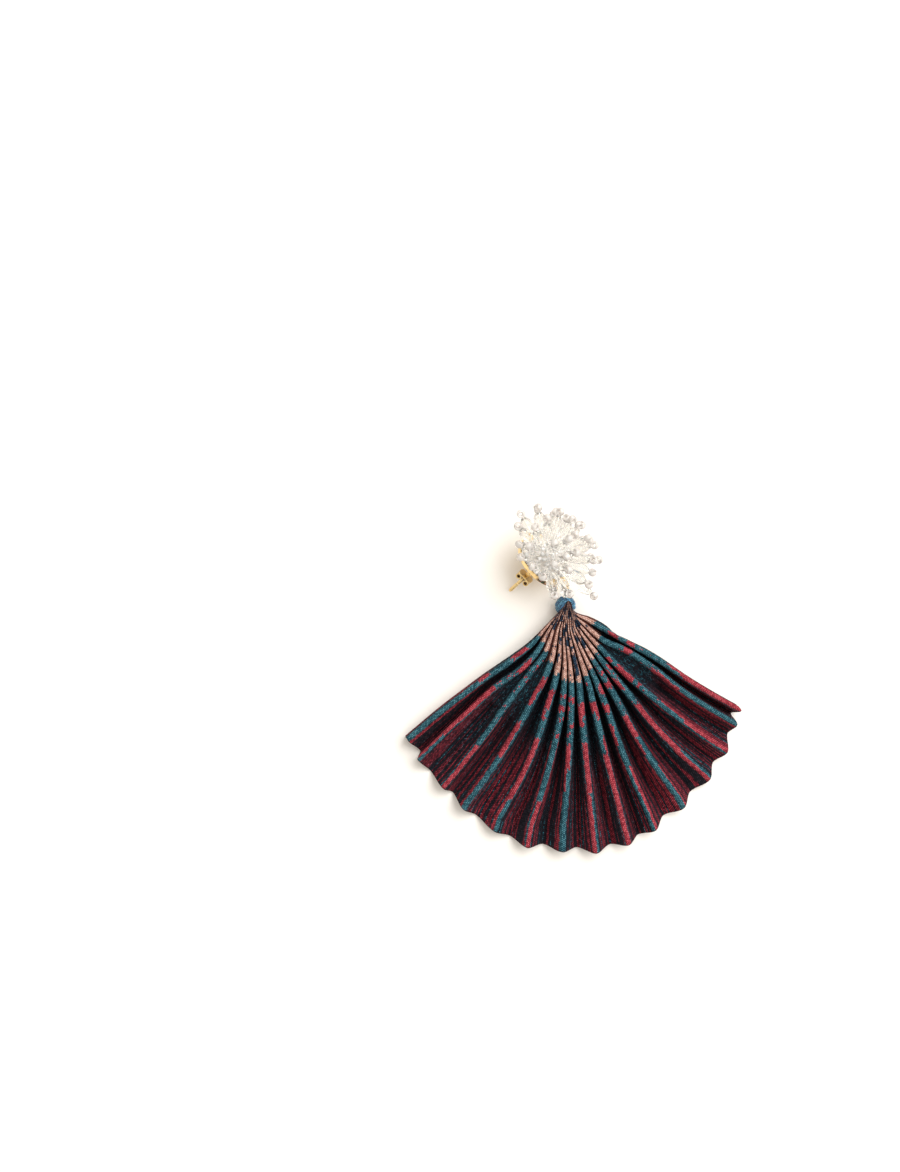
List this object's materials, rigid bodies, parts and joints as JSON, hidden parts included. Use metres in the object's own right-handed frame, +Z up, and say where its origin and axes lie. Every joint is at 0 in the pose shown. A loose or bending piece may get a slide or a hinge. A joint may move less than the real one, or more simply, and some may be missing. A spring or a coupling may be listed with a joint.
{
  "type": "drop earring with a crystal cluster stud and a pleated cloth fan",
  "caption": "Drop earring: a cluster of clear crystals on a gold ear stud carries a pleated cloth fan on a short thread.",
  "frame": {"origin": "middle of the whole earring's outline, on the surface that it lies on", "axes": "+Z up from the surface, +Y from the fan's rim to the cluster, +X to the right seen from above"},
  "size_m": [0.0843, 0.0876, 0.0202],
  "materials": {
    "dyed_cloth": "matt",
    "binding_thread": "matt",
    "clear_crystal": "polished",
    "tip_bead": "polished",
    "gold_metal": "polished",
    "sewn_base": "polished"
  },
  "bodies": {
    "earring": {"fan_cloth": "dyed_cloth", "thread_wrap": "binding_thread", "hanging_thread": "binding_thread", "link_crystal": "clear_crystal", "stud_plate": "gold_metal", "bead_bed": "sewn_base", "crystal_1": "clear_crystal", "crystal_2": "clear_crystal", "crystal_3": "clear_crystal", "crystal_4": "clear_crystal", "crystal_5": "clear_crystal", "crystal_6": "clear_crystal", "crystal_7": "clear_crystal", "crystal_8": "clear_crystal", "crystal_9": "clear_crystal", "crystal_10": "clear_crystal", "crystal_11": "clear_crystal", "crystal_12": "clear_crystal", "crystal_13": "clear_crystal", "crystal_14": "clear_crystal", "crystal_15": "clear_crystal", "crystal_16": "clear_crystal", "crystal_17": "clear_crystal", "crystal_18": "clear_crystal", "crystal_19": "clear_crystal", "crystal_20": "clear_crystal", "crystal_21": "clear_crystal", "crystal_22": "clear_crystal", "crystal_23": "clear_crystal", "crystal_24": "clear_crystal", "crystal_25": "clear_crystal", "crystal_26": "clear_crystal", "crystal_27": "clear_crystal", "crystal_28": "clear_crystal", "crystal_29": "clear_crystal", "crystal_30": "clear_crystal", "crystal_31": "clear_crystal", "crystal_32": "clear_crystal", "crystal_33": "clear_crystal", "crystal_34": "clear_crystal", "crystal_35": "clear_crystal", "crystal_36": "clear_crystal", "crystal_37": "clear_crystal", "crystal_38": "clear_crystal", "tip_beads_1": "tip_bead", "tip_beads_2": "tip_bead", "tip_beads_3": "tip_bead", "tip_beads_4": "tip_bead", "tip_beads_5": "tip_bead", "tip_beads_6": "tip_bead"},
    "ear_nut": {"ear_nut": "gold_metal"}
  },
  "joints": [
    {"name": "ear_nut_slide", "type": "slide", "parent": "earring", "child": "ear_nut", "axis": [-0.6916, -0.5212, -0.5], "range_m": [-0.004, 0.0038]}
  ]
}
